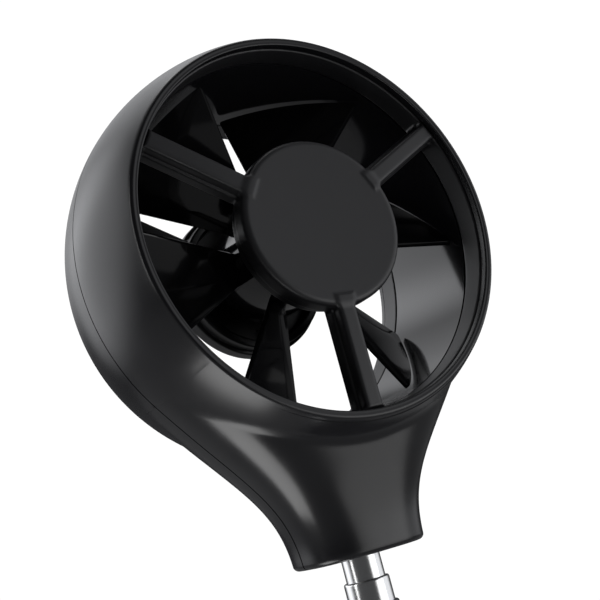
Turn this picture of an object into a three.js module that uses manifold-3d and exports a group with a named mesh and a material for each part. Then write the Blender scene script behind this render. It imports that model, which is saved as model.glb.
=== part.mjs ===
// Vane anemometer probe: a ring-shaped head with a spinning vane rotor, on a telescopic rod and a plain grip.
// Millimetres, +Z up along the rod. The air goes in at -Y.
// The origin is the middle of the grip's flat lower end.
import * as THREE from "three";
import { mergeVertices } from "three/addons/utils/BufferGeometryUtils.js";
import Module from "manifold-3d";

const wasm = await Module();
wasm.setup();

// ---- Driving dimensions ----
const RING_RADIUS = 36; // the widest part of the ring, at the parting plane
const RING_HALF_DEPTH = 17;
const LIP_OUTER_RADIUS = 32.2; // where the barrel curve meets the flat lip
const DUCT_RADIUS = 30.8; // the bore that the air passes through
const SHELL_WALL = 1.6;
const CLEARANCE = 0.3; // between pieces that touch
const NECK_END = 51.6; // below the rotor's axis
const NECK_END_HALF_WIDTH = 10.4;
const NECK_END_HALF_DEPTH = 8.6;
const HUB_RADIUS = 14.2;
const SPOKES = [30, 150, 270]; // degrees, anticlockwise from +X, seen from the front
const BLADES = 6;
const ROD_RADII = [3.2, 3.75, 4.3, 4.85]; // thinnest section first
const ROD_WALL = 0.3;
const ROD_STEP = 4; // how far each section shows above the next when the rod is shut
const GRIP_LENGTH = 118;
const GRIP_RADIUS = 12;
const FIXED_TUBE_TOP = GRIP_LENGTH + 58;
const NECK_GAP = 3.8; // from the second section's lip to the neck
const AXIS_HEIGHT = FIXED_TUBE_TOP + 2 * ROD_STEP + NECK_GAP + NECK_END;

const ROUND = 48; // facets round the ring
const SMALL_ROUND = 16; // facets round the rod, the screws and the other small round pieces
const GRIP_ROUND = 24;
const deg = THREE.MathUtils.degToRad;

// ---- Materials ----
const finish = (color, roughness, metalness = 0) =>
  new THREE.MeshStandardMaterial({ color, roughness, metalness });
const MATERIALS = {
  shell: finish(0x1b1b1d, 0.45),
  guard: finish(0x1d1d1f, 0.5),
  gloss: finish(0x0c0c0d, 0.12),
  grip: finish(0x161617, 0.7),
  chrome: finish(0xe6e8ea, 0.08, 1),
  steel: finish(0x9a9ca0, 0.3, 1),
  brass: finish(0xb89347, 0.3, 1),
  board: finish(0x16181a, 0.5),
  lead: finish(0x2a2a2c, 0.6),
  magnet: finish(0x55575a, 0.35, 1),
};

// ---- Solids ----
// A closed mesh as a solid that can be joined and cut.
function solid(geometry) {
  const bare = geometry.clone();
  bare.deleteAttribute("normal");
  bare.deleteAttribute("uv");
  const merged = mergeVertices(bare, 1e-4);
  const vertProperties = merged.attributes.position.array;
  const triVerts = new Uint32Array(merged.index.array);
  return new wasm.Manifold(new wasm.Mesh({ numProp: 3, vertProperties, triVerts }));
}

// A solid's triangles as a geometry.
function geometryOf(manifold) {
  const mesh = manifold.getMesh();
  const geometry = new THREE.BufferGeometry();
  geometry.setAttribute("position", new THREE.BufferAttribute(mesh.vertProperties, 3));
  geometry.setIndex(new THREE.BufferAttribute(mesh.triVerts, 1));
  return geometry;
}

// A profile of [radius, height] corners, turned about the Y axis, and closed on itself or on the axis.
function turnedAboutY(corners, segments = SMALL_ROUND) {
  const points = corners.map(([radius, height]) => new THREE.Vector2(radius, height));
  const onAxis = corners[0][0] === 0 && corners.at(-1)[0] === 0;
  if (!onAxis) points.push(points[0].clone());
  if (!THREE.ShapeUtils.isClockWise(points)) return new THREE.LatheGeometry(points, segments);
  return new THREE.LatheGeometry(points.reverse(), segments);
}

// The same profile, turned about the Z axis.
const turnedAboutZ = (corners, segments = SMALL_ROUND) =>
  turnedAboutY(corners, segments).rotateX(Math.PI / 2);

// A plain ring between two radii and two heights.
const ringCorners = (inner, outer, low, high) => [
  [inner, low],
  [outer, low],
  [outer, high],
  [inner, high],
];
const discCorners = (radius, low, high) => [
  [0, low],
  [radius, low],
  [radius, high],
  [0, high],
];

// A box between two corners.
function block(low, high) {
  const size = high.map((value, i) => value - low[i]);
  const middle = high.map((value, i) => (value + low[i]) / 2);
  return new THREE.BoxGeometry(...size).translate(...middle);
}

function group(parent, height = 0) {
  const made = new THREE.Group();
  made.position.z = height;
  parent.add(made);
  return made;
}

function piece(parent, name, shape, material) {
  const geometry = shape.isBufferGeometry ? shape : geometryOf(shape);
  geometry.computeVertexNormals();
  const mesh = new THREE.Mesh(geometry, material);
  mesh.name = name;
  parent.add(mesh);
  return mesh;
}

const probe = new THREE.Group();
const head = group(probe, AXIS_HEIGHT); // its origin is on the rotor's axis, in the parting plane

// ---- Ring and neck, as one outer form ----
// The barrel's radius at a distance y from the parting plane: an arc through the lip and the widest circle.
const barrelSag = RING_RADIUS - LIP_OUTER_RADIUS;
const barrelArc = (RING_HALF_DEPTH ** 2 + barrelSag ** 2) / (2 * barrelSag);
const barrelRadius = (y) => RING_RADIUS - barrelArc + Math.sqrt(barrelArc ** 2 - y ** 2);

const BARREL_STEPS = 8;

function barrel(inset, halfDepth) {
  const corners = [];
  for (let i = 0; i <= BARREL_STEPS; i++) {
    const y = halfDepth * ((2 * i) / BARREL_STEPS - 1);
    corners.push([barrelRadius(y) - inset, y]);
  }
  return solid(turnedAboutY([[0, -halfDepth], ...corners, [0, halfDepth]], ROUND));
}

// Half the neck's width and depth, down its length.
// The curves leave the ring smoothly and end almost upright.
const neckLeaves = deg(-38);
const NECK_LEAVING_PULL = 19; // how far the curve holds to the ring's tangent
const NECK_END_PULL = 11; // how far it holds to the upright end
const NECK_END_FLARE = 0.3;
const NECK_TOP_HALF_DEPTH = 15.5;
const NECK_SQUARENESS = 2.9; // 2 is an ellipse, more is boxier
const NECK_ROWS = 10;
const NECK_ROUND = 28;
const neckTop = [RING_RADIUS * Math.cos(neckLeaves), RING_RADIUS * Math.sin(neckLeaves)];
const neckWidth = new THREE.CubicBezierCurve(
  new THREE.Vector2(...neckTop),
  new THREE.Vector2(
    neckTop[0] + NECK_LEAVING_PULL * Math.sin(neckLeaves),
    neckTop[1] - NECK_LEAVING_PULL * Math.cos(neckLeaves),
  ),
  new THREE.Vector2(NECK_END_HALF_WIDTH + NECK_END_FLARE, NECK_END_PULL - NECK_END),
  new THREE.Vector2(NECK_END_HALF_WIDTH, -NECK_END),
);
const neckDepthAt = (t) =>
  THREE.MathUtils.lerp(NECK_TOP_HALF_DEPTH, NECK_END_HALF_DEPTH, Math.sin((t * Math.PI) / 2));
// A coordinate on the unit circle, moved out to the boxier curve.
const squared = (value) => Math.sign(value) * Math.abs(value) ** (2 / NECK_SQUARENESS);

// The neck as a stack of rounded sections. inset leaves a wall, and lift takes the end up.
function neck(inset, lift) {
  const form = new THREE.CylinderGeometry(1, 1, 1, NECK_ROUND, NECK_ROWS).rotateX(Math.PI / 2);
  const position = form.attributes.position;
  for (let i = 0; i < position.count; i++) {
    const t = 0.5 - position.getZ(i);
    const edge = neckWidth.getPoint(t);
    const x = (edge.x - inset) * squared(position.getX(i));
    const y = (neckDepthAt(t) - inset) * squared(position.getY(i));
    position.setXYZ(i, x, y, edge.y + lift * t);
  }
  return solid(form);
}

// ---- Head shells ----
const LIP_DEPTH = 1.2; // how thick the flat rim is, front to back
const GUARD_RING_OUTER = 31.6;
const SHELL_BORE = DUCT_RADIUS + 0.2; // the lip stands just outside the duct
const PARTING_GAP = CLEARANCE / 2; // each half's share
const SCREW_X = 7.5; // the shell screws stand each side of the lead's connector
const SCREW_Z = -38.5;
const SCREW_RADIUS = 1.1;
const SCREW_HEAD_RADIUS = 2;
const SCREW_HEAD_SEAT = 4.4; // behind the parting plane, so that the heads are sunk
const BOSS_RADIUS = 2.9;
const FERRULE_TOP = -41.5;
const FERRULE_RADIUS = 5.3;
const SOCKET_RADIUS = ROD_RADII[0] + CLEARANCE;

const alongY = (radius, low, high, x = 0, z = 0, segments = SMALL_ROUND) =>
  solid(turnedAboutY(discCorners(radius, low, high), segments).translate(x, 0, z));
const alongZ = (radius, low, high, segments = SMALL_ROUND) =>
  solid(turnedAboutZ(discCorners(radius, low, high), segments));

function headForm() {
  return barrel(0, RING_HALF_DEPTH).add(neck(0, 0));
}

// The hollow inside both shells: the ring's channel round the duct, and the inside of the neck.
function headHollow() {
  const depth = RING_HALF_DEPTH - LIP_DEPTH;
  const seat = alongY(GUARD_RING_OUTER + CLEARANCE, -depth, depth, 0, 0, ROUND);
  return barrel(SHELL_WALL, depth).add(neck(SHELL_WALL, SHELL_WALL)).add(seat);
}

// One half of the head. side is -1 for the front and 1 for the rear.
function shell(side) {
  const reach = 2 * NECK_END;
  const [low, high] = side < 0 ? [-reach, -PARTING_GAP] : [PARTING_GAP, reach];
  const half = solid(block([-reach, low, -reach], [reach, high, reach]));
  const bore = alongY(SHELL_BORE, -reach, reach, 0, 0, ROUND);
  const hollow = headHollow().subtract(shellBosses());
  const socket = alongZ(SOCKET_RADIUS, -reach, 0);
  const holes = screwHole(side, -SCREW_X, SCREW_Z).add(screwHole(side, SCREW_X, SCREW_Z));
  return headForm().subtract(hollow).subtract(bore).subtract(socket).subtract(holes).intersect(half);
}

// Posts inside the neck that the two screws hold together.
function shellBosses() {
  const post = (x) => alongY(BOSS_RADIUS, -RING_HALF_DEPTH, RING_HALF_DEPTH, x, SCREW_Z);
  return post(-SCREW_X).add(post(SCREW_X));
}

// A blind hole in a front post, or a through hole with a seat for the head in a rear post.
function screwHole(side, x, z) {
  const radius = SCREW_RADIUS + CLEARANCE;
  if (side < 0) return alongY(radius, 1 - SCREW_HEAD_SEAT, 1, x, z);
  const seat = alongY(SCREW_HEAD_RADIUS + CLEARANCE, SCREW_HEAD_SEAT, RING_HALF_DEPTH, x, z);
  return alongY(radius, -1, RING_HALF_DEPTH, x, z).add(seat);
}

piece(head, "front_shell", shell(-1), MATERIALS.shell);
piece(head, "rear_shell", shell(1), MATERIALS.shell);

// A pan-head screw along Y, with a cross slot in its head.
const SCREW_HEAD_HEIGHT = 1.4;
const SCREW_SLOT_DEPTH = 0.8;
const SCREW_SLOT_HALF_LENGTH = 1.3;
const SCREW_SLOT_HALF_WIDTH = 0.25;

function caseScrew() {
  const headTop = SCREW_HEAD_SEAT + CLEARANCE + SCREW_HEAD_HEIGHT;
  const body = solid(
    turnedAboutY([
      [0, 2 - SCREW_HEAD_SEAT],
      [SCREW_RADIUS, 3 - SCREW_HEAD_SEAT],
      [SCREW_RADIUS, SCREW_HEAD_SEAT + CLEARANCE],
      [SCREW_HEAD_RADIUS, SCREW_HEAD_SEAT + CLEARANCE],
      [SCREW_HEAD_RADIUS * 0.8, headTop],
      [0, headTop],
    ]),
  );
  const slotLow = headTop - SCREW_SLOT_DEPTH;
  const slot = (halfX, halfZ) => solid(block([-halfX, slotLow, -halfZ], [halfX, headTop + 1, halfZ]));
  return body
    .subtract(slot(SCREW_SLOT_HALF_LENGTH, SCREW_SLOT_HALF_WIDTH))
    .subtract(slot(SCREW_SLOT_HALF_WIDTH, SCREW_SLOT_HALF_LENGTH));
}

for (const [name, turn] of [["shell_screw_left", -1], ["shell_screw_right", 1]]) {
  const made = piece(head, name, caseScrew(), MATERIALS.steel);
  made.position.set(turn * SCREW_X, 0, SCREW_Z);
}

// ---- Guards: a hub disc, three spokes and a ring, at the front and at the rear ----
const GUARD_FACE = RING_HALF_DEPTH - 1; // the spokes' outer faces
const GUARD_RING_START = LIP_DEPTH + CLEARANCE - (RING_HALF_DEPTH - GUARD_FACE);
const GUARD_RING_DEPTH = 4.2;
const SPOKE_WIDTH = 3.1;
const SPOKE_FOOT_WIDTH = 3.9;
const SPOKE_FOOT_START = 2;
const SPOKE_DEPTH = 4.2;
const HUB_DEPTH = 5.8;
const SHAFT_RADIUS = 0.8;
const BEARING_RADIUS = 2.4;
const BEARING_DEPTH = 2.2;
const HUB_WALL = 1.5;
const HUB_DISH = 0.35; // how far the middle of the hub's face is sunk
const HUB_STEP = 0.7; // the step in the hub's side
const HUB_SIDE_RADIUS = HUB_RADIUS - HUB_STEP;
const HUB_CUP_RADIUS = HUB_SIDE_RADIUS - HUB_WALL;
const BEARING_POST_RADIUS = BEARING_RADIUS + 2;
const SPOKE_ROOT = HUB_RADIUS - 2; // the spokes start inside the hub's rim
const TONGUE_END = DUCT_RADIUS + 0.4; // and their tongues end inside the guard's ring

// The guard lies on its face: the height runs inwards, towards the rotor, from the outer face at 0.
function guard(withLeadChannel) {
  const ringEnd = GUARD_RING_START + GUARD_RING_DEPTH;
  const ring = ringCorners(DUCT_RADIUS, GUARD_RING_OUTER, GUARD_RING_START, ringEnd);
  let made = solid(turnedAboutY(ring, ROUND));
  for (const angle of SPOKES) made = made.add(spoke(angle));
  const outer = [
    [0, HUB_DISH],
    [HUB_RADIUS - 3, 0.2],
    [HUB_RADIUS - 1.2, 0],
    [HUB_RADIUS - 0.3, 0.45],
    [HUB_RADIUS, 1.3],
    [HUB_RADIUS, 3.2],
    [HUB_SIDE_RADIUS, 3.4],
    [HUB_SIDE_RADIUS, HUB_DEPTH],
    [0, HUB_DEPTH],
  ];
  made = made.add(solid(turnedAboutY(outer, ROUND)));
  const cup = ringCorners(BEARING_POST_RADIUS, HUB_CUP_RADIUS, HUB_DISH + HUB_WALL, HUB_DEPTH + 1);
  made = made.subtract(solid(turnedAboutY(cup, GRIP_ROUND)));
  const seat = HUB_DEPTH - BEARING_DEPTH - CLEARANCE;
  made = made.subtract(alongY(BEARING_RADIUS + CLEARANCE, seat, HUB_DEPTH + 1));
  return withLeadChannel ? made.subtract(leadChannel()) : made;
}

// One spoke: a bar on a wider foot, from inside the hub to the duct's wall.
// Its tongue goes on into the guard's ring.
function spoke(angle) {
  const end = DUCT_RADIUS - CLEARANCE;
  const ringEnd = GUARD_RING_START + GUARD_RING_DEPTH;
  const bar = (far, low, high, width) =>
    solid(block([SPOKE_ROOT, low, -width / 2], [far, high, width / 2]));
  const face = bar(end, 0, SPOKE_DEPTH, SPOKE_WIDTH);
  const foot = bar(end, SPOKE_FOOT_START, SPOKE_DEPTH, SPOKE_FOOT_WIDTH);
  const tongue = bar(TONGUE_END, GUARD_RING_START, ringEnd, SPOKE_WIDTH);
  return solid(geometryOf(face.add(foot).add(tongue)).rotateY(-deg(angle)));
}

// The sensor's lead lies in a groove down the inner face of the rear guard's lowest spoke.
const LEAD_RADIUS = 0.6;
const CHANNEL_HALF_WIDTH = LEAD_RADIUS + CLEARANCE + 0.1;
const CHANNEL_FLOOR = 2.4; // from the guard's outer face
function leadChannel() {
  const low = [-CHANNEL_HALF_WIDTH, CHANNEL_FLOOR, -RING_RADIUS];
  return solid(block(low, [CHANNEL_HALF_WIDTH, HUB_DEPTH + 1, 3 - HUB_RADIUS]));
}

// Turned so that the guard's face looks forwards, or backwards.
const frontGuard = geometryOf(guard(false)).translate(0, -GUARD_FACE, 0);
piece(head, "front_guard", frontGuard, MATERIALS.guard);
const rearGuard = geometryOf(guard(true)).rotateZ(Math.PI).translate(0, GUARD_FACE, 0);
piece(head, "rear_guard", rearGuard, MATERIALS.guard);

// ---- Duct sleeve: the smooth bore between the two guards ----
const guardInner = RING_HALF_DEPTH - LIP_DEPTH - CLEARANCE - GUARD_RING_DEPTH;
const sleeveEnd = guardInner - CLEARANCE;
const SLEEVE_NOTCH = 7.2; // where the notch for the lead starts, behind the parting plane
const sleeveTube = turnedAboutY(ringCorners(DUCT_RADIUS, GUARD_RING_OUTER, -sleeveEnd, sleeveEnd), ROUND);
const sleeveNotch = block(
  [-CHANNEL_HALF_WIDTH, SLEEVE_NOTCH, -RING_RADIUS],
  [CHANNEL_HALF_WIDTH, RING_HALF_DEPTH, 0],
);
piece(head, "duct_sleeve", solid(sleeveTube).subtract(solid(sleeveNotch)), MATERIALS.gloss);

// ---- Bearings in the two hubs ----
const hubInner = GUARD_FACE - HUB_DEPTH;
for (const [name, side] of [["front_bearing", -1], ["rear_bearing", 1]]) {
  const cup = [
    [0, hubInner + BEARING_DEPTH],
    [BEARING_RADIUS, hubInner + BEARING_DEPTH],
    [BEARING_RADIUS, hubInner],
    [SHAFT_RADIUS + CLEARANCE, hubInner],
    [SHAFT_RADIUS + CLEARANCE, hubInner + 1.2],
    [0, hubInner + 1.5],
  ];
  const turned = turnedAboutY(cup.map(([radius, height]) => [radius, side * height]));
  piece(head, name, turned, MATERIALS.brass);
}

// ---- Rotor: six flat blades on a hub, a steel shaft and a small magnet ----
const BLADE_TIP = 30.2;
const BLADE_ROOT = 8;
const BLADE_TIP_HALF_CHORD = 13.2;
const BLADE_ROOT_HALF_CHORD = 2.4;
const BLADE_THICKNESS = 0.9;
const BLADE_PITCH = deg(46); // from the air's direction
const FIRST_BLADE = deg(71.2);
const ROTOR_HUB_RADIUS = 9.5;
const ROTOR_HUB_HALF_DEPTH = 8.2;
const ROTOR_HUB_WALL = 1.6;
const ROTOR_HUB_FLOOR = 2.5; // the closed front of the hub
const ROTOR_HUB_CHAMFER = 1.5;
const ROTOR_BORE = SHAFT_RADIUS + CLEARANCE;
const ROTOR_BOSS_RADIUS = ROTOR_BORE + 2;
const BLADE_SINK = 0.8; // how far the blades' roots go into the hub's wall

// A flat, fan-shaped blade.
// It starts with its chord along Y, leans over by its pitch, and turns to its place.
function blade(turn) {
  const tip = Math.sqrt(BLADE_TIP ** 2 - (BLADE_TIP_HALF_CHORD * Math.sin(BLADE_PITCH)) ** 2);
  const outline = new THREE.Shape();
  outline.moveTo(BLADE_ROOT, -BLADE_ROOT_HALF_CHORD);
  outline.lineTo(tip, -BLADE_TIP_HALF_CHORD);
  outline.lineTo(tip, BLADE_TIP_HALF_CHORD);
  outline.lineTo(BLADE_ROOT, BLADE_ROOT_HALF_CHORD);
  outline.closePath();
  const plate = new THREE.ExtrudeGeometry(outline, { depth: BLADE_THICKNESS, bevelEnabled: false, steps: 1 });
  plate.translate(0, 0, -BLADE_THICKNESS / 2).rotateX(BLADE_PITCH);
  return solid(plate.rotateY(-turn));
}

function rotor() {
  const hubProfile = [
    [ROTOR_BORE, -ROTOR_HUB_HALF_DEPTH],
    [ROTOR_HUB_RADIUS - ROTOR_HUB_CHAMFER, -ROTOR_HUB_HALF_DEPTH],
    [ROTOR_HUB_RADIUS, ROTOR_HUB_CHAMFER - ROTOR_HUB_HALF_DEPTH],
    [ROTOR_HUB_RADIUS, ROTOR_HUB_HALF_DEPTH],
    [ROTOR_HUB_RADIUS - ROTOR_HUB_WALL, ROTOR_HUB_HALF_DEPTH],
    [ROTOR_HUB_RADIUS - ROTOR_HUB_WALL, ROTOR_HUB_FLOOR - ROTOR_HUB_HALF_DEPTH],
    [ROTOR_BOSS_RADIUS, ROTOR_HUB_FLOOR - ROTOR_HUB_HALF_DEPTH],
    [ROTOR_BOSS_RADIUS, ROTOR_HUB_HALF_DEPTH],
    [ROTOR_BORE, ROTOR_HUB_HALF_DEPTH],
  ];
  let made = solid(turnedAboutY(hubProfile, GRIP_ROUND));
  const insideRadius = ROTOR_HUB_RADIUS - BLADE_SINK;
  const inside = alongY(insideRadius, -ROTOR_HUB_HALF_DEPTH, ROTOR_HUB_HALF_DEPTH, 0, 0, GRIP_ROUND);
  for (let i = 0; i < BLADES; i++) {
    const one = blade(FIRST_BLADE + (i * 2 * Math.PI) / BLADES).subtract(inside);
    made = made.add(one);
  }
  return made;
}
piece(head, "rotor", rotor(), MATERIALS.gloss);

const shaftEnd = hubInner + 0.8;
const shaft = [
  [0, -shaftEnd],
  [SHAFT_RADIUS * 0.4, -shaftEnd],
  [SHAFT_RADIUS, -shaftEnd + 0.7],
  [SHAFT_RADIUS, shaftEnd - 0.7],
  [SHAFT_RADIUS * 0.4, shaftEnd],
  [0, shaftEnd],
];
piece(head, "rotor_shaft", turnedAboutY(shaft), MATERIALS.steel);

// The magnet's ring fits in the open rear of the rotor's hub, round the shaft's boss.
const MAGNET_INNER = ROTOR_BOSS_RADIUS + CLEARANCE;
const MAGNET_WIDTH = 3.4;
const MAGNET_DEPTH = 2.2;
const magnetHigh = ROTOR_HUB_HALF_DEPTH - 0.4;
const magnetLow = magnetHigh - MAGNET_DEPTH;
const magnetRing = ringCorners(MAGNET_INNER, MAGNET_INNER + MAGNET_WIDTH, magnetLow, magnetHigh);
piece(head, "sensor_magnet", turnedAboutY(magnetRing), MATERIALS.magnet);

// ---- Sensor board, in the rear hub's cup ----
const BOARD_THICKNESS = 1;
const boardLow = GUARD_FACE - HUB_DISH - HUB_WALL - CLEARANCE - BOARD_THICKNESS;
const BOARD_INNER = BEARING_POST_RADIUS + CLEARANCE;
const BOARD_OUTER = HUB_CUP_RADIUS - CLEARANCE;
const boardRing = ringCorners(BOARD_INNER, BOARD_OUTER, boardLow, boardLow + BOARD_THICKNESS);
const boardDisc = solid(turnedAboutY(boardRing, GRIP_ROUND));
const chip = solid(block([-2, boardLow - 1.2, 5.6], [2, boardLow + 0.5, 8.6]));
const boardNotch = solid(block([-1.2, boardLow - 1, -HUB_RADIUS], [1.2, boardLow + 2, -BOARD_OUTER + 2.5]));
piece(head, "sensor_board", boardDisc.add(chip).subtract(boardNotch), MATERIALS.board);

// ---- Rod socket in the neck, and the lead from the sensor to the rod ----
const ferrule = [
  [SOCKET_RADIUS, SHELL_WALL + CLEARANCE - NECK_END],
  [FERRULE_RADIUS, SHELL_WALL + CLEARANCE - NECK_END],
  [FERRULE_RADIUS, FERRULE_TOP],
  [SOCKET_RADIUS, FERRULE_TOP],
];
piece(head, "rod_ferrule", turnedAboutZ(ferrule), MATERIALS.brass);

const CONNECTOR_TOP = FERRULE_TOP + 6.6;
const CONNECTOR_HEIGHT = 3.4;
const connectorLow = [-2.4, -1.7, CONNECTOR_TOP - CONNECTOR_HEIGHT];
const connectorBody = solid(block(connectorLow, [2.4, 1.7, CONNECTOR_TOP]));
const connectorLatch = solid(block([-1, -2.2, CONNECTOR_TOP - 2.6], [1, -1.5, CONNECTOR_TOP - 0.6]));
piece(head, "lead_connector", connectorBody.add(connectorLatch), MATERIALS.lead);

// A round lead or cord along a smooth curve.
function tubeAlong(points, radius, steps) {
  const section = new THREE.Shape().absarc(0, 0, radius, 0, 2 * Math.PI);
  const extrudePath = new THREE.CatmullRomCurve3(points.map((point) => new THREE.Vector3(...point)));
  return new THREE.ExtrudeGeometry(section, { extrudePath, steps, curveSegments: 4, bevelEnabled: false });
}

const leadPlane = GUARD_FACE - CHANNEL_FLOOR - CLEARANCE - LEAD_RADIUS;
const LEAD_START = 4.4 - HUB_RADIUS; // in the board's notch
const leadRoute = [
  [0, leadPlane, LEAD_START],
  [0, leadPlane, -20],
  [0, leadPlane, 3 - DUCT_RADIUS],
  [0, leadPlane - 0.9, -DUCT_RADIUS],
  [0, 8.4, -32.4],
  [0, 5.2, -33],
  [0, 2, -33.2],
  [0, 0.4, CONNECTOR_TOP + CLEARANCE + 0.8],
  [0, 0, CONNECTOR_TOP + CLEARANCE],
];
piece(head, "sensor_lead", tubeAlong(leadRoute, LEAD_RADIUS, 28), MATERIALS.lead);

// ---- Telescopic rod: four round sections, thinnest at the top ----
const TUBE_BOTTOM = 20; // the fixed section's lower end, inside the grip
const TUBE_TIP = AXIS_HEIGHT + FERRULE_TOP; // the thinnest section ends inside the neck's socket
const LIP_ROLL = 0.4; // how far a section's top edge is rolled in
const PLUG_RIM = 0.13; // how far a plug's rim stands out, to slide in the next section
const PLUG_WALL = 1;
const LIP_LENGTH = 1.6;
const LIP_GAP = 0.1; // between a section and the rolled lip of the next
const PLUG_HEIGHT = 5;
const BOTTOM_STEP = 7; // each section's lower end stands clear above the next one's plug

// A section with a rolled-in lip at its top, or an open top where the head is fitted.
function tubeProfile(radius, low, high, innerLip) {
  const bore = radius - ROD_WALL;
  const outside = [
    [bore, low],
    [radius, low],
    [radius, high - 0.5],
    [radius - 0.15, high - 0.15],
    [radius - LIP_ROLL, high],
  ];
  return [...outside, [innerLip, high], [innerLip, high - LIP_LENGTH], [bore, high - LIP_LENGTH - 0.3]];
}

// The thinnest section first. Its place counts the sections from the fixed one up.
ROD_RADII.forEach((radius, i) => {
  const fixed = i === ROD_RADII.length - 1;
  const place = ROD_RADII.length - 1 - i;
  const low = TUBE_BOTTOM + place * BOTTOM_STEP;
  const high = i === 0 ? TUBE_TIP : FIXED_TUBE_TOP + place * ROD_STEP;
  const innerLip = i === 0 ? radius - ROD_WALL - 0.1 : ROD_RADII[i - 1] + LIP_GAP;
  piece(probe, `tube_${i + 1}`, turnedAboutZ(tubeProfile(radius, low, high, innerLip)), MATERIALS.chrome);
  if (fixed) return;
  // A brass plug in the lower end, whose rim slides in the next section.
  const rim = radius + PLUG_RIM;
  const bore = radius - ROD_WALL - PLUG_WALL;
  const plug = [
    [bore, low - 1.6],
    [rim, low - 1.6],
    [rim, low - CLEARANCE],
    [radius - ROD_WALL - 0.15, low - CLEARANCE],
    [radius - ROD_WALL - 0.15, low + PLUG_HEIGHT],
    [bore, low + PLUG_HEIGHT],
  ];
  piece(probe, `tube_${i + 1}_plug`, turnedAboutZ(plug), MATERIALS.brass);
});

// The plug in the rod's tip. Its rim rests on the ferrule, so the head stays on and can still be turned.
const TIP_BORE = 1.2;
const tipLow = TUBE_TIP + CLEARANCE;
const tipPlug = [
  [TIP_BORE, TUBE_TIP - 6],
  [ROD_RADII[0] - ROD_WALL - 0.25, TUBE_TIP - 6],
  [ROD_RADII[0] - ROD_WALL - 0.25, tipLow],
  [FERRULE_RADIUS - 0.9, tipLow],
  [FERRULE_RADIUS - 0.9, tipLow + 1.1],
  [FERRULE_RADIUS - 1.5, tipLow + 1.7],
  [TIP_BORE, tipLow + 1.7],
];
piece(probe, "rod_tip_plug", turnedAboutZ(tipPlug), MATERIALS.brass);

// ---- Grip ----
// Two moulded halves with screws, a clamp on the rod, a collar, and an end cap with a cord gland.
const GRIP_WALL = 2;
const CAP_HEIGHT = 12;
const COLLAR_HEIGHT = 9;
const COLLAR_RADIUS = 9.4;
const HALF_LOW = CAP_HEIGHT + CLEARANCE;
const HALF_HIGH = GRIP_LENGTH - COLLAR_HEIGHT - CLEARANCE;
const FIXED_RADIUS = ROD_RADII.at(-1);
const FIXED_SOCKET = FIXED_RADIUS + CLEARANCE;

// The grip's outline: a slight swell in the middle and a waist for the thumb near the top.
const gripOutline = new THREE.SplineCurve([
  new THREE.Vector2(GRIP_RADIUS - 0.6, HALF_LOW),
  new THREE.Vector2(GRIP_RADIUS, HALF_LOW + 18),
  new THREE.Vector2(GRIP_RADIUS + 0.4, HALF_LOW + 42),
  new THREE.Vector2(GRIP_RADIUS - 0.8, HALF_HIGH - 26),
  new THREE.Vector2(GRIP_RADIUS - 1.4, HALF_HIGH - 12),
  new THREE.Vector2(GRIP_RADIUS - 1, HALF_HIGH),
]);
const GRIP_STEPS = 9;
const gripPoints = (inset) =>
  gripOutline.getPoints(GRIP_STEPS).map((point) => [point.x - inset, point.y]);

const GRIP_SCREW_HEIGHTS = [27, 70];
const GRIP_SCREW_X = 8.2;

function gripSkin(inset, overrun) {
  const points = gripPoints(inset);
  const low = HALF_LOW - overrun;
  const high = HALF_HIGH + overrun;
  const ends = [[0, low], [points[0][0], low], ...points.slice(1, -1), [points.at(-1)[0], high], [0, high]];
  return solid(turnedAboutZ(ends, GRIP_ROUND));
}

// One half of the grip. side is -1 for the front and 1 for the rear, where the screws go in.
function gripHalf(side) {
  const reach = 2 * GRIP_LENGTH;
  const [low, high] = side < 0 ? [-reach, -PARTING_GAP] : [PARTING_GAP, reach];
  let made = gripSkin(0, 0).subtract(gripSkin(GRIP_WALL, 1));
  for (const [x, z] of gripScrewPlaces()) {
    const post = alongY(BOSS_RADIUS, -GRIP_RADIUS, GRIP_RADIUS, x, z).intersect(gripSkin(GRIP_WALL / 2, 0));
    made = made.add(post);
  }
  for (const [x, z] of gripScrewPlaces()) made = made.subtract(screwHole(side, x, z));
  return made.intersect(solid(block([-reach, low, -reach], [reach, high, reach])));
}

function gripScrewPlaces() {
  return GRIP_SCREW_HEIGHTS.flatMap((z) => [-1, 1].map((turn) => [turn * GRIP_SCREW_X, z]));
}

piece(probe, "grip_front", gripHalf(-1), MATERIALS.grip);
piece(probe, "grip_rear", gripHalf(1), MATERIALS.grip);
gripScrewPlaces().forEach(([x, z], i) => {
  const made = piece(probe, `grip_screw_${i + 1}`, caseScrew(), MATERIALS.steel);
  made.position.set(x, 0, z);
});

// The clamp grips the fixed section inside the two halves.
const CLAMP_LOW = 44;
const CLAMP_HEIGHT = 12;
const clamp = [
  [FIXED_SOCKET, CLAMP_LOW],
  [GRIP_RADIUS - GRIP_WALL - 0.8, CLAMP_LOW],
  [GRIP_RADIUS - GRIP_WALL - 0.8, CLAMP_LOW + 3],
  [FIXED_SOCKET + 1.8, CLAMP_LOW + 4],
  [FIXED_SOCKET + 1.4, CLAMP_LOW + CLAMP_HEIGHT],
  [FIXED_SOCKET, CLAMP_LOW + CLAMP_HEIGHT],
];
piece(probe, "rod_clamp", turnedAboutZ(clamp), MATERIALS.brass);

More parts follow.
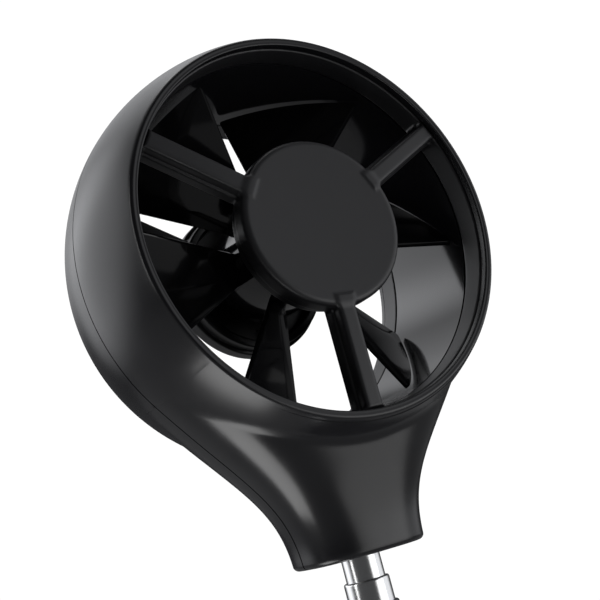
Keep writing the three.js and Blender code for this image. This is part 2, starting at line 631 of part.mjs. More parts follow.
// The collar closes the grip's top end round the rod.
const COLLAR_SPIGOT = 8.2;
const collarLow = GRIP_LENGTH - COLLAR_HEIGHT;
const collar = [
  [FIXED_SOCKET, collarLow - 6],
  [COLLAR_SPIGOT, collarLow - 6],
  [COLLAR_SPIGOT, collarLow],
  [GRIP_RADIUS - 1.2, collarLow],
  [GRIP_RADIUS - 1.4, collarLow + 3],
  [COLLAR_RADIUS, GRIP_LENGTH - 1.6],
  [COLLAR_RADIUS - 1.4, GRIP_LENGTH],
  [FIXED_SOCKET, GRIP_LENGTH],
];
piece(probe, "grip_collar", turnedAboutZ(collar, GRIP_ROUND), MATERIALS.shell);

// The end cap, flat below, with a recess and a hole for the gland.
const CAP_RADIUS = GRIP_RADIUS - 0.6;
const CAP_FLOOR = 3.4;
const CAP_SPIGOT = 8.8;
const CAP_SPIGOT_END = CAP_HEIGHT + 5.4;
const GLAND_HOLE = 3.6;
const RECESS_RADIUS = 5.2;
const RECESS_DEPTH = 1.6;
const cap = [
  [RECESS_RADIUS, 0],
  [CAP_RADIUS - 1.2, 0],
  [CAP_RADIUS, 1.2],
  [CAP_RADIUS, CAP_HEIGHT],
  [CAP_SPIGOT, CAP_HEIGHT],
  [CAP_SPIGOT, CAP_SPIGOT_END],
  [CAP_SPIGOT - 1.4, CAP_SPIGOT_END],
  [CAP_SPIGOT - 1.4, CAP_FLOOR],
  [GLAND_HOLE, CAP_FLOOR],
  [GLAND_HOLE, RECESS_DEPTH],
  [RECESS_RADIUS, RECESS_DEPTH],
];
piece(probe, "end_cap", turnedAboutZ(cap, GRIP_ROUND), MATERIALS.shell);

// A rubber gland snapped into the end cap's hole, with an open bore for the instrument's cord.
const GLAND_BORE = 2.1;
const gland = [
  [GLAND_BORE, 0.5],
  [RECESS_RADIUS - CLEARANCE, 0.5],
  [RECESS_RADIUS - CLEARANCE, RECESS_DEPTH - CLEARANCE],
  [GLAND_HOLE - CLEARANCE, RECESS_DEPTH - CLEARANCE],
  [GLAND_HOLE - CLEARANCE, CAP_FLOOR + CLEARANCE],
  [GLAND_HOLE + 0.8, CAP_FLOOR + CLEARANCE],
  [GLAND_HOLE + 0.4, CAP_FLOOR + 2],
  [GLAND_BORE, CAP_FLOOR + 2.6],
];
piece(probe, "cord_gland", turnedAboutZ(gland), MATERIALS.grip);

export default probe;
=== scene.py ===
import math

import bmesh
import bpy
import numpy as np
from mathutils import Matrix, Vector


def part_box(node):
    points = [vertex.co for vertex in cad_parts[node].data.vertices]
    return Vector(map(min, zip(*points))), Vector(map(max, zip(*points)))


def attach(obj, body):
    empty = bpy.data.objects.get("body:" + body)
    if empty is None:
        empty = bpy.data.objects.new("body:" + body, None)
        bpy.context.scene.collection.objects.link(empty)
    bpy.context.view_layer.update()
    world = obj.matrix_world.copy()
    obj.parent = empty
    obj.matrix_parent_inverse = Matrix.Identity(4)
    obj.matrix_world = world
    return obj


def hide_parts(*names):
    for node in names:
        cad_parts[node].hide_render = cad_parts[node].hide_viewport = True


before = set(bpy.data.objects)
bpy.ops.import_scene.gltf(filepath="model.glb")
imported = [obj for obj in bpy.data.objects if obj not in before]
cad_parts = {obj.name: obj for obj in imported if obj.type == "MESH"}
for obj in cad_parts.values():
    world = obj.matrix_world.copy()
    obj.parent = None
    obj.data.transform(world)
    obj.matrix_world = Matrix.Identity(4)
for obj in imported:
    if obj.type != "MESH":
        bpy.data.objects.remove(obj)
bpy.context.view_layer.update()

MM = 0.001


# ---- Sizes, from the frame ----
def box_mm(node):
    low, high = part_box(node)
    return low / MM, high / MM


shell_low, shell_high = box_mm("front_shell")
sleeve_high = box_mm("duct_sleeve")[1]
guard_low = box_mm("front_guard")[0]
shaft_low, shaft_high = box_mm("rotor_shaft")
AXIS_HEIGHT = (shaft_low.z + shaft_high.z) / 2
RING_RADIUS = shell_high.x
RING_HALF_DEPTH = -shell_low.y
PARTING = -shell_high.y  # half of the gap between the two shells
NECK_END = AXIS_HEIGHT - shell_low.z
SLEEVE_WALL = 0.8
SLEEVE_OUTER = sleeve_high.x
DUCT_RADIUS = SLEEVE_OUTER - SLEEVE_WALL
SLEEVE_HALF_DEPTH = sleeve_high.y
GUARD_FACE = -guard_low.y
ROD_RADII = [box_mm(f"tube_{i}")[1].x for i in (1, 2, 3, 4)]
ROD_WALL = 0.3
GRIP_RADIUS = 12.0

# ---- Sizes of the head's form, mostly as in the CAD part ----
LIP_INNER = 31.0
LIP_OUTER = 32.2
NECK_LEAVES = math.radians(-38)
NECK_LEAVING_PULL = 19.0
NECK_END_PULL = 11.0
NECK_END_HALF_WIDTH = 10.4
NECK_END_FLARE = 0.3
NECK_TOP_HALF_DEPTH = 15.5
NECK_END_HALF_DEPTH = 8.6
NECK_SQUARENESS = 2.9
NECK_EDGE = 0.9  # the round along the neck's lower edge, which only this scene has
CREASE = 1.5  # the hollow round where the neck meets the ring, which only this scene has
CREASE_LEAST = 0.03
CREASE_SHARE = 0.35  # of the way to the parting plane, where that is less than the crease
CLEARANCE = 0.3
SOCKET_RADIUS = ROD_RADII[0] + CLEARANCE
SHELL_WALL = 1.2  # the CAD part's is 1.6
SCREW_X = 7.5
SCREW_Z = -38.5
SCREW_SEAT = 4.4
SCREW_RADIUS = 1.1
SCREW_HEAD_RADIUS = 2.0
SCREW_HEAD_HEIGHT = 1.4
SCREW_SLOT = (1.3, 0.25)  # half its length and half its width
SCREW_SLOT_DEPTH = 0.8
SEAT_RADIUS = SCREW_HEAD_RADIUS + CLEARANCE
POST_RADIUS = 2.9
POST_TOP = 7.4  # how far behind the parting plane the post reaches
HUB_RADIUS = 14.2
SPOKES = [math.radians(angle) for angle in (30, 150, 270)]
BLADES = 6
ROUND = 256


# ---- Mesh helpers ----
def new_object(name, points, faces, centre=(0, 0, 0)):
    """A mesh object from points in millimetres."""
    mesh = bpy.data.meshes.new(name)
    placed = (np.asarray(points, float) + np.asarray(centre, float)) * MM
    mesh.from_pydata(placed.tolist(), [], [list(map(int, face)) for face in faces])
    mesh.update()
    made = bpy.data.objects.new(name, mesh)
    bpy.context.scene.collection.objects.link(made)
    return made


def tidy_mesh(made, merge=1e-7):
    """Joins points that lie on each other, and turns every face outwards."""
    work = bmesh.new()
    work.from_mesh(made.data)
    bmesh.ops.remove_doubles(work, verts=work.verts, dist=merge)
    bmesh.ops.recalc_face_normals(work, faces=work.faces)
    work.to_mesh(made.data)
    work.free()
    return made


def finished(made, body, slot, look, *nodes, sharp=38):
    """Shades the piece, gives it its material, hangs it on the empty of the body it rides on, and hides the
    CAD parts it stands for.
    """
    made.data.shade_smooth()
    made.data.set_sharp_from_angle(angle=math.radians(sharp))
    made.data.materials.clear()
    made.data.materials.append(look)
    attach(made, body)
    if nodes:
        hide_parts(*nodes)
    return made


def with_modifiers_applied(made):
    graph = bpy.context.evaluated_depsgraph_get()
    mesh = bpy.data.meshes.new_from_object(made.evaluated_get(graph))
    made.modifiers.clear()
    made.data = mesh
    return made


def boolean(made, other, operation):
    """Joins or cuts with another object, which is then removed."""
    step = made.modifiers.new("boolean", "BOOLEAN")
    step.object = other
    step.operation = operation
    step.solver = "EXACT"
    bpy.context.view_layer.update()
    with_modifiers_applied(made)
    bpy.data.objects.remove(other)
    return made


def filleted(corners, steps=4):
    """A line through [a, b] or [a, b, fillet] corners, with each fillet as an arc."""
    points = []
    last = len(corners) - 1
    for i, corner in enumerate(corners):
        here = np.array(corner[:2], float)
        fillet = corner[2] if len(corner) > 2 else 0
        if not fillet or i in (0, last):
            points.append(here)
            continue
        before = np.array(corners[i - 1][:2], float) - here
        after = np.array(corners[i + 1][:2], float) - here
        before /= np.linalg.norm(before)
        after /= np.linalg.norm(after)
        start = here + before * fillet
        end = here + after * fillet
        for step in range(steps + 1):
            t = step / steps
            points.append((1 - t) ** 2 * start + 2 * t * (1 - t) * here + t**2 * end)
    return np.array(points)


def turned(name, corners, along="z", segments=96, centre=(0, 0, 0), steps=4):
    """A profile of [radius, height, fillet] corners, turned about Y or Z, closed on itself or the axis."""
    on_axis = corners[0][0] == 0 and corners[-1][0] == 0
    line = filleted(corners if on_axis else [*corners, corners[0]], steps)
    if not on_axis:
        line = line[:-1]
    angles = np.arange(segments) * 2 * math.pi / segments
    radius = line[:, 0][:, None]
    height = np.repeat(line[:, 1][:, None], segments, axis=1)
    across, up = radius * np.cos(angles), radius * np.sin(angles)
    order = (across, up, height) if along == "z" else (across, height, up)
    points = np.stack(order, axis=-1).reshape(-1, 3)
    rows = len(line)
    faces = []
    for row in range(rows - 1 if on_axis else rows):
        below = (row + 1) % rows
        for i in range(segments):
            j = (i + 1) % segments
            faces.append((row * segments + i, row * segments + j, below * segments + j, below * segments + i))
    return tidy_mesh(new_object(name, points, faces, centre))


def block(name, low, high, centre=(0, 0, 0)):
    corners = [[(low, high)[(i >> axis) & 1][axis] for axis in range(3)] for i in range(8)]
    faces = [(0, 2, 3, 1), (4, 5, 7, 6), (0, 1, 5, 4), (2, 6, 7, 3), (0, 4, 6, 2), (1, 3, 7, 5)]
    return tidy_mesh(new_object(name, corners, faces, centre))


def grid_faces(index, closed):
    columns = index.shape[1]
    faces = []
    for row in range(index.shape[0] - 1):
        for column in range(columns if closed else columns - 1):
            beside = (column + 1) % columns
            below = row + 1
            faces.append((index[row, column], index[row, beside], index[below, beside], index[below, column]))
    return faces


# ---- Fields: a solid as a distance that is below 0 inside ----
def smooth_join(a, b, width):
    share = np.clip(0.5 + 0.5 * (b - a) / width, 0, 1)
    return b * (1 - share) + a * share - width * share * (1 - share)


def smooth_meet(a, b, width):
    return -smooth_join(-a, -b, width)


def project(field, points, reach):
    """Moves points onto the surface where the field is 0."""
    nudge = 0.01
    for _ in range(4):
        value = field(*points.T)
        slope = np.stack(
            [
                (field(*(points + nudge * axis).T) - field(*(points - nudge * axis).T)) / (2 * nudge)
                for axis in np.eye(3)
            ],
            axis=-1,
        )
        steep = np.maximum((slope**2).sum(1), 0.05)
        move = -(value / steep)[:, None] * slope
        length = np.linalg.norm(move, axis=1)[:, None]
        points = points + move * np.minimum(1, reach / np.maximum(length, 1e-9))
    return points


def solid_of_field(name, field, low, high, step, centre):
    """A closed mesh on the surface where the field is 0."""
    axes = [np.arange(low[i], high[i] + step, step) for i in range(3)]
    value = field(*np.meshgrid(*axes, indexing="ij"))
    cells = tuple(n - 1 for n in value.shape)
    total = np.zeros((*cells, 3))
    count = np.zeros(cells)
    edges = []
    for axis in range(3):
        first = [slice(None)] * 3
        second = [slice(None)] * 3
        first[axis], second[axis] = slice(0, -1), slice(1, None)
        a, b = value[tuple(first)], value[tuple(second)]
        crossed = (a < 0) != (b < 0)
        share = np.where(crossed, a / np.where(crossed, a - b, 1), 0)
        edges.append((crossed, a < 0))
        others = [i for i in range(3) if i != axis]
        for i in (0, 1):
            for j in (0, 1):
                part = [slice(None)] * 3
                part[others[0]] = slice(i, i + cells[others[0]])
                part[others[1]] = slice(j, j + cells[others[1]])
                hit = crossed[tuple(part)]
                count += hit
                total[..., axis] += share[tuple(part)] * hit
                total[..., others[0]] += i * hit
                total[..., others[1]] += j * hit
    active = count > 0
    number = np.full(cells, -1)
    number[active] = np.arange(active.sum())
    corner = np.argwhere(active)
    points = (corner + total[active] / count[active][:, None]) * step + np.array(low)
    faces = []
    for axis, (crossed, inside) in enumerate(edges):
        u, v = (axis + 1) % 3, (axis + 2) % 3
        where = np.argwhere(crossed)
        keep = (where[:, u] > 0) & (where[:, v] > 0)
        keep &= (where[:, u] < cells[u]) & (where[:, v] < cells[v])
        where = where[keep]
        quad = []
        for du, dv in ((1, 1), (0, 1), (0, 0), (1, 0)):
            cell = where.copy()
            cell[:, u] -= du
            cell[:, v] -= dv
            quad.append(number[tuple(cell.T)])
        quad = np.stack(quad, axis=-1)
        outwards = inside[tuple(where.T)]
        quad[~outwards] = quad[~outwards][:, ::-1]
        faces.append(quad)
    points = project(field, points, step / 2)
    return new_object(name, points, np.concatenate(faces), centre)


# ---- Materials ----
SLOW_SCALE = 40  # how much wider the slow variation is than the grain
TONE_SPREAD = 0.15


def look(name, colour, roughness, metallic=0.0, grain=0.3, depth=0.01, stretch=(1, 1, 1), spread=0.06):
    """A surface with fine grain in its bump, and slow variation in its colour and roughness.
    grain is the grain's size and depth its height, both in millimetres."""
    made = bpy.data.materials.new(name)
    made.use_nodes = True
    nodes, links = made.node_tree.nodes, made.node_tree.links
    shader = nodes["Principled BSDF"]
    shader.inputs["Metallic"].default_value = metallic
    place = nodes.new("ShaderNodeTexCoord")
    scale = nodes.new("ShaderNodeMapping")
    scale.inputs["Scale"].default_value = stretch
    links.new(place.outputs["Object"], scale.inputs["Vector"])

    def noise(size_mm, detail):
        node = nodes.new("ShaderNodeTexNoise")
        node.inputs["Scale"].default_value = 1 / (size_mm * MM)
        node.inputs["Detail"].default_value = detail
        links.new(scale.outputs["Vector"], node.inputs["Vector"])
        return node

    fine, slow = noise(grain, 3), noise(grain * SLOW_SCALE, 4)
    bump = nodes.new("ShaderNodeBump")
    bump.inputs["Strength"].default_value = 1.0
    bump.inputs["Distance"].default_value = depth * MM
    links.new(fine.outputs["Fac"], bump.inputs["Height"])
    links.new(bump.outputs["Normal"], shader.inputs["Normal"])
    tone = nodes.new("ShaderNodeMix")
    tone.data_type = "RGBA"
    tone.inputs["A"].default_value = (*[c * (1 - TONE_SPREAD) for c in colour], 1)
    tone.inputs["B"].default_value = (*[min(1, c * (1 + TONE_SPREAD)) for c in colour], 1)
    links.new(slow.outputs["Fac"], tone.inputs["Factor"])
    links.new(tone.outputs["Result"], shader.inputs["Base Color"])
    rough = nodes.new("ShaderNodeMapRange")
    rough.inputs["To Min"].default_value = max(0.0, roughness - spread)
    rough.inputs["To Max"].default_value = roughness + spread
    links.new(slow.outputs["Fac"], rough.inputs["Value"])
    links.new(rough.outputs["Result"], shader.inputs["Roughness"])
    return made


SHELL = look("shell_plastic", (0.007, 0.007, 0.0085), 0.25, grain=0.16, depth=0.003)
GUARD = look("guard_plastic", (0.019, 0.019, 0.021), 0.36, grain=0.14, depth=0.006)
DUCT = look("duct_plastic", (0.012, 0.012, 0.014), 0.10, grain=0.8, depth=0.002, spread=0.03)
ROTOR = look("rotor_plastic", (0.008, 0.008, 0.009), 0.09, grain=0.9, depth=0.002, spread=0.03)
GRIP = look("grip_plastic", (0.02, 0.02, 0.021), 0.55, grain=0.3, depth=0.03)
GLAND = look("gland_rubber", (0.012, 0.012, 0.012), 0.72, grain=0.25, depth=0.02)
CHROME = look(
    "chrome", (0.93, 0.94, 0.95), 0.2, 1.0, grain=0.12, depth=0.0004, stretch=(1, 1, 0.15), spread=0.025
)
STEEL = look("bright_steel", (0.55, 0.56, 0.57), 0.28, 1.0, grain=0.08, depth=0.002, stretch=(1, 0.2, 1))
BRASS = look("turned_brass", (0.72, 0.54, 0.25), 0.27, 1.0, grain=0.1, depth=0.002, stretch=(0.2, 0.2, 1))
MAGNET = look("ferrite", (0.06, 0.06, 0.065), 0.5, 0.6, grain=0.2, depth=0.02)
# Painted shade: the sensor board is near black instead of its own green, so that through the gap it reads as
# the dark inside of the rear hub.
BOARD_PAINTED_SHADE = look("board_painted_shade", (0.012, 0.012, 0.013), 0.35, grain=0.5, depth=0.01)
LEAD = look("lead_insulation", (0.03, 0.03, 0.032), 0.5, grain=0.2, depth=0.005)

HEAD_CENTRE = (0, 0, AXIS_HEIGHT)

# ---- Head shells ----
barrel_sag = RING_RADIUS - LIP_OUTER
barrel_arc = (RING_HALF_DEPTH**2 + barrel_sag**2) / (2 * barrel_sag)


def barrel_radius(y):
    return RING_RADIUS - barrel_arc + np.sqrt(barrel_arc**2 - y**2)


def neck_edge(t):
    """The neck's outline on its +X side, as half-width and height."""
    start = np.array([RING_RADIUS * math.cos(NECK_LEAVES), RING_RADIUS * math.sin(NECK_LEAVES)])
    leaving = start + NECK_LEAVING_PULL * np.array([math.sin(NECK_LEAVES), -math.cos(NECK_LEAVES)])
    arriving = np.array([NECK_END_HALF_WIDTH + NECK_END_FLARE, NECK_END_PULL - NECK_END])
    end = np.array([NECK_END_HALF_WIDTH, -NECK_END])
    s = 1 - t
    return s**3 * start + 3 * s * s * t * leaving + 3 * s * t * t * arriving + t**3 * end


def neck_depth(t):
    share = math.sin(t * math.pi / 2)
    return NECK_TOP_HALF_DEPTH * (1 - share) + NECK_END_HALF_DEPTH * share


def section(half_width, half_depth, u):
    """A point of the front half of the neck's section, from +X at u 0 to -X at u 1."""
    first = math.asin((PARTING / half_depth) ** (NECK_SQUARENESS / 2))
    angle = first + u * (math.pi - 2 * first)
    power = 2 / NECK_SQUARENESS
    x = half_width * math.copysign(abs(math.cos(angle)) ** power, math.cos(angle))
    return x, -half_depth * math.sin(angle) ** power


def neck_point(t, u):
    half_width, z = neck_edge(t)
    x, y = section(half_width, neck_depth(t), u)
    return np.array([x, y, z])


def first_where(test, low=0.0, high=1.0):
    """Halves the range until it closes on where the test turns true."""
    for _ in range(40):
        middle = (low + high) / 2
        low, high = (low, middle) if test(middle) else (middle, high)
    return high


def barrel_point(angle, y):
    radius = barrel_radius(y)
    return np.array([radius * math.cos(angle), y, radius * math.sin(angle)])


LIP_DEPTH = 1.2
LIP_STEP = 0.06  # the lip's inner band lies this much behind its outer band
LIP_STEP_INNER = 31.45
LIP_STEP_OUTER = 31.75
LIP_TURN = 0.6  # how far behind the face the round at the lip's edge meets the barrel
LIP_LINE = filleted(
    [
        [LIP_INNER, LIP_DEPTH - RING_HALF_DEPTH],
        [LIP_INNER, LIP_STEP - RING_HALF_DEPTH, 0.25],
        [LIP_STEP_INNER, LIP_STEP - RING_HALF_DEPTH, 0.1],
        [LIP_STEP_OUTER, -RING_HALF_DEPTH, 0.1],
        [LIP_OUTER, -RING_HALF_DEPTH, 0.35],
        [barrel_radius(LIP_TURN - RING_HALF_DEPTH), LIP_TURN - RING_HALF_DEPTH],
    ]
)
BARREL_ROWS = 22
CREASE_ROWS = 4
NECK_ROWS = 36
NECK_COLUMNS = 112
RING_COLUMNS = 220


def front_skin():
    """The outer skin of the front shell, as points and faces."""
    edge_end = first_where(lambda t: neck_edge(t)[1] < NECK_EDGE - NECK_END)
    columns = []
    for j in range(NECK_COLUMNS + 1):
        u = j / NECK_COLUMNS
        leaves = first_where(
            lambda t: np.hypot(*neck_point(t, u)[[0, 2]]) > barrel_radius(neck_point(t, u)[1]), low=1e-4
        )
        crease = neck_point(leaves, u)
        angle = math.atan2(crease[2], crease[0])
        soft = max(CREASE_LEAST, min(CREASE, CREASE_SHARE * (-crease[1] - PARTING)))
        on_barrel = barrel_point(angle, crease[1] - soft)
        speed = np.linalg.norm(neck_point(leaves + 1e-3, u) - crease) / 1e-3
        onward = leaves + soft / speed
        on_neck = neck_point(onward, u)
        columns.append((u, angle, crease, on_barrel, onward, on_neck))
    ring = []
    for u, angle, crease, on_barrel, onward, on_neck in columns:
        ring.append((angle, on_barrel[1], (on_barrel, crease, on_neck)))
    first_angle, last_angle = columns[0][1], columns[-1][1]
    gap = 2 * math.pi - (first_angle - last_angle)
    for k in range(1, RING_COLUMNS):
        angle = last_angle - gap * k / RING_COLUMNS
        ring.append((angle, -PARTING - CREASE_LEAST, None))
    points, index = [], []
    for angle, y_end, bend in ring:
        line = [[radius * math.cos(angle), y, radius * math.sin(angle)] for radius, y in LIP_LINE]
        start = LIP_LINE[-1][1]
        for i in range(1, BARREL_ROWS + 1):
            line.append(barrel_point(angle, start + (y_end - start) * i / BARREL_ROWS))
        for i in range(1, CREASE_ROWS + 1):
            t = 0.5 * i / CREASE_ROWS
            if bend is None:
                line.append(barrel_point(angle, y_end + (-PARTING - y_end) * i / CREASE_ROWS))
            else:
                line.append((1 - t) ** 2 * bend[0] + 2 * t * (1 - t) * bend[1] + t * t * bend[2])
        index.append(range(len(points), len(points) + len(line)))
        points.extend(line)
    ring_index = np.array(index).T
    faces = grid_faces(ring_index, closed=True)
    neck_index = [[ring_index[-1, j]] for j in range(NECK_COLUMNS + 1)]
    for j, (u, angle, crease, on_barrel, onward, on_neck) in enumerate(columns):
        line = []
        for i in range(1, CREASE_ROWS + 1):
            t = 0.5 + 0.5 * i / CREASE_ROWS
            line.append((1 - t) ** 2 * on_barrel + 2 * t * (1 - t) * crease + t * t * on_neck)
        for i in range(1, NECK_ROWS + 1):
            line.append(neck_point(onward + (edge_end - onward) * i / NECK_ROWS, u))
        line.extend(neck_end_line(edge_end, u))
        neck_index[j].extend(range(len(points), len(points) + len(line)))
        points.extend(line)
    faces += grid_faces(np.array(neck_index).T, closed=False)
    return np.array(points), faces


def neck_end_line(edge_end, u):
    """Round the neck's lower edge, across its end, and up into the rod's socket."""
    half_width, half_depth = neck_edge(edge_end)[0], neck_depth(edge_end)
    line = []
    steps = 6
    for i in range(1, steps + 1):
        turn = math.pi / 2 * i / steps
        inset = NECK_EDGE * (1 - math.cos(turn))
        x, y = section(half_width - inset, half_depth - inset, u)
        line.append([x, y, -NECK_END + NECK_EDGE * (1 - math.sin(turn))])
    rim = np.array(line[-1])

    def socket(radius, z):
        first = math.asin(PARTING / radius)
        angle = first + u * (math.pi - 2 * first)
        return np.array([radius * math.cos(angle), -radius * math.sin(angle), z])

    chamfer = 0.25
    mouth = socket(SOCKET_RADIUS + chamfer, -NECK_END)
    for i in range(1, 6):
        line.append(rim + (mouth - rim) * i / 5)
    line.append(socket(SOCKET_RADIUS, chamfer - NECK_END))
    line.append(socket(SOCKET_RADIUS, SHELL_WALL - NECK_END))
    return line


def thickened(made, wall):
    step = made.modifiers.new("wall", "SOLIDIFY")
    step.thickness = wall * MM
    step.offset = -1
    bpy.context.view_layer.update()
    return with_modifiers_applied(made)


def screw_post(place):
    profile = [[0, 1], [POST_RADIUS, 1], [POST_RADIUS, POST_TOP], [0, POST_TOP]]
    return turned("post", profile, "y", 48, place)


def screw_seat(place, reach):
    """The hole that a screw's head is sunk in, out to past the skin."""
    profile = [[0, SCREW_SEAT], [SEAT_RADIUS, SCREW_SEAT], [SEAT_RADIUS, reach], [0, reach]]
    return turned("seat", profile, "y", 48, place)


def shells():
    points, faces = front_skin()
    front = thickened(new_object("shell_front", points, faces, HEAD_CENTRE), SHELL_WALL)
    finished(front, "head", "shell", SHELL, "front_shell")
    mirrored = points * np.array([1, -1, 1])
    rear = new_object("shell_rear", mirrored, [face[::-1] for face in faces], HEAD_CENTRE)
    rear = thickened(rear, SHELL_WALL)
    for x in (-SCREW_X, SCREW_X):
        place = (x, 0, AXIS_HEIGHT + SCREW_Z)
        boolean(rear, screw_post(place), "UNION")
        boolean(rear, screw_seat(place, 12), "DIFFERENCE")
    finished(rear, "head", "shell", SHELL, "rear_shell")


shells()

# ---- Guards ----
SPOKE_HALF_WIDTH = 1.55
SPOKE_FOOT_HALF_WIDTH = 1.95
SPOKE_FOOT_START = 2.0
SPOKE_DEPTH = 4.2
HUB_DEPTH = 5.8
HUB_DISH = 0.35
HUB_DISH_RADIUS = 13
HUB_RIM_DEPTH = 3.3  # where the hub's side steps in
HUB_SIDE = 13.5
GUARD_RING_START = 0.5
GUARD_RING_END = 4.7
HUB_CUP = (4.4, 12, 1.85)  # the hollow's inner and outer radius, and its floor
BEARING_SEAT = (2.7, 3.3)  # radius, and depth from the guard's face
SPOKE_ROOT = 12.6
CHANNEL_HALF_WIDTH = 1.0
CHANNEL_FLOOR = 2.4
CHANNEL_END = 11.2  # below the rotor's axis, inside the hub
FINE_STEP = 0.22


def guard_field(with_channel):
    """A guard's hub, spokes and ring as one distance. The height runs inwards from its face."""

    def hub(radius, height):
        face = HUB_DISH * (1 - (radius / HUB_DISH_RADIUS) ** 2) - height
        rim = smooth_meet(radius - HUB_RADIUS, height - HUB_RIM_DEPTH, 0.3)
        side = smooth_meet(radius - HUB_SIDE, height - HUB_DEPTH, 0.4)
        outer = smooth_meet(smooth_join(rim, side, 0.15), face, 1.1)
        cup = np.maximum(np.maximum(HUB_CUP[0] - radius, radius - HUB_CUP[1]), HUB_CUP[2] - height)
        seat = np.maximum(radius - BEARING_SEAT[0], BEARING_SEAT[1] - height)
        return smooth_meet(smooth_meet(outer, -cup, 0.3), -seat, 0.2)

    def spoke(along, across, height):
        wide = np.abs(across)
        bar = smooth_meet(wide - SPOKE_HALF_WIDTH, -height, 0.7)
        bar = smooth_meet(bar, height - SPOKE_DEPTH, 0.3)
        foot = smooth_meet(wide - SPOKE_FOOT_HALF_WIDTH, SPOKE_FOOT_START - height, 0.4)
        foot = smooth_meet(foot, height - SPOKE_DEPTH, 0.3)
        both = smooth_join(bar, foot, 0.15)
        return np.maximum(both, np.maximum(SPOKE_ROOT - along, along - DUCT_RADIUS + 0.25))

    def field(x, y, z):
        radius = np.hypot(x, z)
        height = y + GUARD_FACE
        ring = smooth_meet(DUCT_RADIUS - radius, radius - SLEEVE_OUTER, 0.15)
        ring = smooth_meet(ring, GUARD_RING_START - height, 0.2)
        ring = smooth_meet(ring, height - GUARD_RING_END, 0.2)
        whole = hub(radius, height)
        for angle in SPOKES:
            along = x * math.cos(angle) + z * math.sin(angle)
            across = z * math.cos(angle) - x * math.sin(angle)
            whole = smooth_join(whole, spoke(along, across, height), 0.7)
        whole = smooth_join(whole, ring, 0.7)
        if with_channel:
            channel = np.maximum(np.abs(x) - CHANNEL_HALF_WIDTH, CHANNEL_FLOOR - height)
            channel = np.maximum(channel, z + CHANNEL_END)
            whole = np.maximum(whole, -channel)
        return whole

    return field


def guards():
    reach = SLEEVE_OUTER + 0.6
    for name, node, turn in (("guard_front", "front_guard", 1), ("guard_rear", "rear_guard", -1)):
        low = (-reach, -GUARD_FACE - 0.5, -reach)
        high = (reach, HUB_DEPTH + 0.5 - GUARD_FACE, reach)
        made = solid_of_field(name, guard_field(turn < 0), low, high, FINE_STEP, (0, 0, 0))
        made.data.transform(Matrix.Diagonal((turn, turn, 1, 1)))
        made.data.transform(Matrix.Translation((0, 0, AXIS_HEIGHT * MM)))
        finished(made, "head", "guard", GUARD, node, sharp=60)


guards()


# ---- Duct sleeve ----
SLEEVE_NOTCH = 7.2  # where the notch for the lead starts, behind the parting plane


def duct():
    profile = [
        [DUCT_RADIUS, -SLEEVE_HALF_DEPTH, 0.15],
        [SLEEVE_OUTER, -SLEEVE_HALF_DEPTH, 0.15],
        [SLEEVE_OUTER, SLEEVE_HALF_DEPTH, 0.15],
        [DUCT_RADIUS, SLEEVE_HALF_DEPTH, 0.15],
    ]
    made = turned("duct_bore", profile, "y", ROUND, HEAD_CENTRE)
    low, high = (-CHANNEL_HALF_WIDTH, SLEEVE_NOTCH, -34), (CHANNEL_HALF_WIDTH, 14, -28)
    notch = block("notch", low, high, HEAD_CENTRE)
    boolean(made, notch, "DIFFERENCE")
    finished(made, "head", "duct", DUCT, "duct_sleeve")


duct()

# ---- Rotor ----
BLADE_TIP = 30.2
BLADE_ROOT = 8.0
BLADE_TIP_HALF_CHORD = 13.2
BLADE_ROOT_HALF_CHORD = 2.4
BLADE_THICKNESS = 0.9
BLADE_PITCH = math.radians(46)
FIRST_BLADE = math.radians(71.2)
BLADE_CORNER = 0.7
BLADE_EDGE = 0.13  # the round along every edge
ROTOR_HUB = 9.5
ROTOR_HUB_HALF = 8.2
ROTOR_HUB_WALL = 1.6
ROTOR_HUB_FLOOR = 2.5
ROTOR_BORE = 1.1
ROTOR_BOSS = ROTOR_BORE + 2


def blade_outline():
    """The blade's flat outline: straight sides, and a tip that follows the duct."""
    tip = []
    steps = 14
    for i in range(steps + 1):
        chord = BLADE_TIP_HALF_CHORD * (2 * i / steps - 1)
        tip.append([math.sqrt(BLADE_TIP**2 - (chord * math.sin(BLADE_PITCH)) ** 2), chord])
    tip[0].append(BLADE_CORNER)
    tip[-1].append(BLADE_CORNER)
    root = [[BLADE_ROOT, BLADE_ROOT_HALF_CHORD], [BLADE_ROOT, -BLADE_ROOT_HALF_CHORD]]
    return filleted([root[1], *tip, root[0]])


def blade_points(turn):
    line = blade_outline()
    points = []
    for normal in (-BLADE_THICKNESS / 2, BLADE_THICKNESS / 2):
        for along, chord in line:
            y = chord * math.cos(BLADE_PITCH) - normal * math.sin(BLADE_PITCH)
            z = chord * math.sin(BLADE_PITCH) + normal * math.cos(BLADE_PITCH)
            x = along * math.cos(turn) - z * math.sin(turn)
            points.append([x, y, along * math.sin(turn) + z * math.cos(turn)])
    return points


